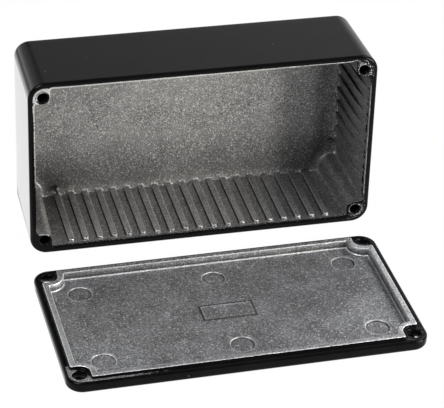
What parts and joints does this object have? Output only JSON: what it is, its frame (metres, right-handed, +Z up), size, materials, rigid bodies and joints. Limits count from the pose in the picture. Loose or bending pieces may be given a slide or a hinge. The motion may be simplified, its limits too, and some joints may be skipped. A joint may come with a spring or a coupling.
{
  "type": "die cast enclosure",
  "caption": "Rectangular die cast aluminium electronics enclosure, black outside and bare inside, with card guide ribs, screw pillars and a lipped lid that is taken off and laid in front.",
  "frame": {"origin": "the middle of the long wall that the box stands on, on the surface that everything rests on", "axes": "+X along the box, to the right as seen from the mouth's side; -Y out of the mouth, towards the lid; +Z up"},
  "size_m": [0.1235, 0.1404, 0.066],
  "materials": {
    "body_casting": "smooth black paint outside, bare cast aluminium inside",
    "lid_casting": "bare cast aluminium inside, black paint on the flange and outer face",
    "screw_steel": "zinc plated"
  },
  "bodies": {
    "root": {"enclosure_body": "body_casting", "enclosure_lid": "lid_casting", "lid_screws": "screw_steel"}
  },
  "joints": []
}
